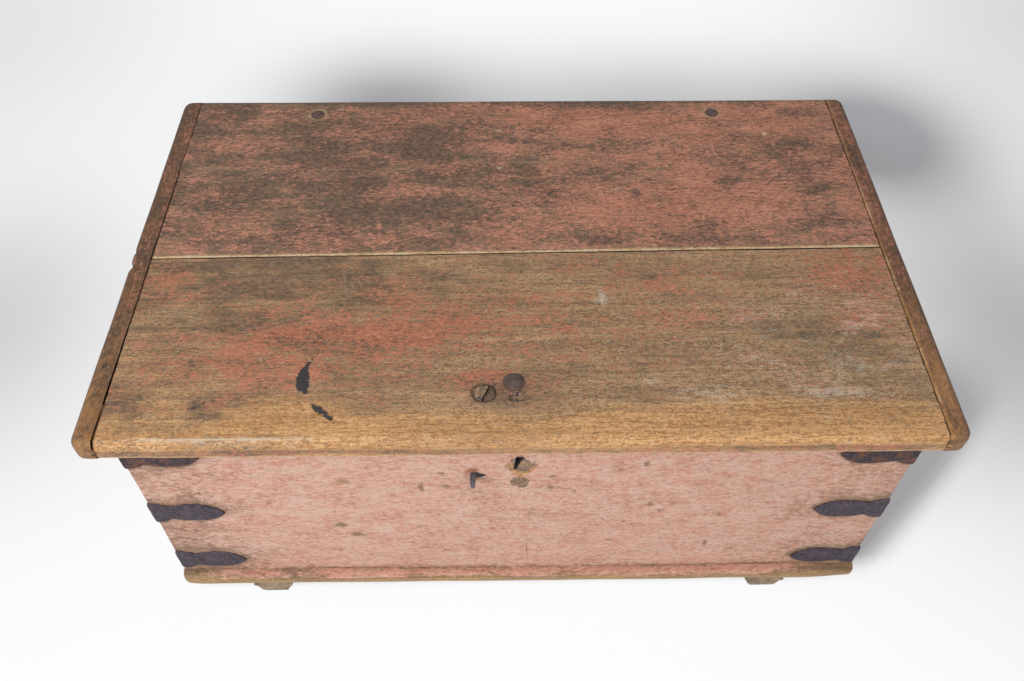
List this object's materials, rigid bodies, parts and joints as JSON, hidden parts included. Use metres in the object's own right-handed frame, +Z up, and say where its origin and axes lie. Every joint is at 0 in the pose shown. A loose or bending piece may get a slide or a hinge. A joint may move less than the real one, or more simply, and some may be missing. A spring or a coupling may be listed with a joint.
{
  "type": "blanket chest",
  "caption": "Low wooden blanket chest with a hinged board lid, cleated lid ends, iron leaf straps on the corners, a key lock, end drop handles and floor runners.",
  "frame": {"origin": "on the floor, under the middle of the lid's outline", "axes": "+X along the chest to the right as seen from its front, +Y from front to back, +Z up"},
  "size_m": [1.2, 0.746, 0.5005],
  "materials": {
    "lid_wood": "worn red paint over darkened wood",
    "body_wood": "faded matt red-pink paint",
    "base_wood": "faded matt red-pink paint, bare at the edges",
    "bare_wood": "weathered, unpainted",
    "forged_iron": "dull forged iron with rust"
  },
  "bodies": {
    "chest": {"back_board": "body_wood", "back_left_bottom_strap": "forged_iron", "back_left_middle_strap": "forged_iron", "back_left_top_strap": "forged_iron", "back_right_bottom_strap": "forged_iron", "back_right_middle_strap": "forged_iron", "back_right_top_strap": "forged_iron", "base_front_board": "base_wood", "base_nails": "forged_iron", "base_rear_board": "base_wood", "corner_nails": "forged_iron", "front_board": "body_wood", "front_left_bottom_strap": "forged_iron", "front_left_middle_strap": "forged_iron", "front_left_top_strap": "forged_iron", "front_right_bottom_strap": "forged_iron", "front_right_middle_strap": "forged_iron", "front_right_top_strap": "forged_iron", "front_spike": "forged_iron", "hinge_leaf_nails": "forged_iron", "left_end_board": "body_wood", "left_handle_eyes": "forged_iron", "left_hinge_back_leaf": "forged_iron", "left_hinge_pin": "forged_iron", "left_runner": "bare_wood", "lock_case": "forged_iron", "lock_nails": "forged_iron", "lock_plate": "forged_iron", "lock_spring": "forged_iron", "right_end_board": "body_wood", "right_handle_eyes": "forged_iron", "right_hinge_back_leaf": "forged_iron", "right_hinge_pin": "forged_iron", "right_runner": "bare_wood", "runner_nails": "forged_iron", "strap_nails": "forged_iron"},
    "lid": {"lid_front_board": "lid_wood", "lid_rear_board": "lid_wood", "lid_left_cleat": "lid_wood", "lid_right_cleat": "lid_wood", "cleat_nails": "forged_iron", "left_hinge_lid_strap": "forged_iron", "right_hinge_lid_strap": "forged_iron", "hinge_rivets": "forged_iron", "lid_strap_nails": "forged_iron", "lock_staple": "forged_iron", "staple_plate": "forged_iron", "lock_rivet": "forged_iron", "lid_plug": "bare_wood", "staple_wedge": "bare_wood"},
    "lock_bolt": {"lock_bolt": "forged_iron"},
    "left_handle": {"left_handle": "forged_iron"},
    "right_handle": {"right_handle": "forged_iron"}
  },
  "joints": [
    {"name": "lid_hinge", "type": "hinge", "parent": "chest", "child": "lid", "pos_m": [0, 0.35846, 0.45954], "axis": [-1, 0, 0], "range_deg": [0, 112]},
    {"name": "lock_bolt_slide", "type": "slide", "parent": "chest", "child": "lock_bolt", "axis": [1, 0, 0], "range_m": [0, 0.022]},
    {"name": "left_handle_swing", "type": "hinge", "parent": "chest", "child": "left_handle", "pos_m": [-0.576, 0, 0.3], "axis": [0, 1, 0], "range_deg": [0, 170]},
    {"name": "right_handle_swing", "type": "hinge", "parent": "chest", "child": "right_handle", "pos_m": [0.576, 0, 0.3], "axis": [0, -1, 0], "range_deg": [0, 170]}
  ]
}
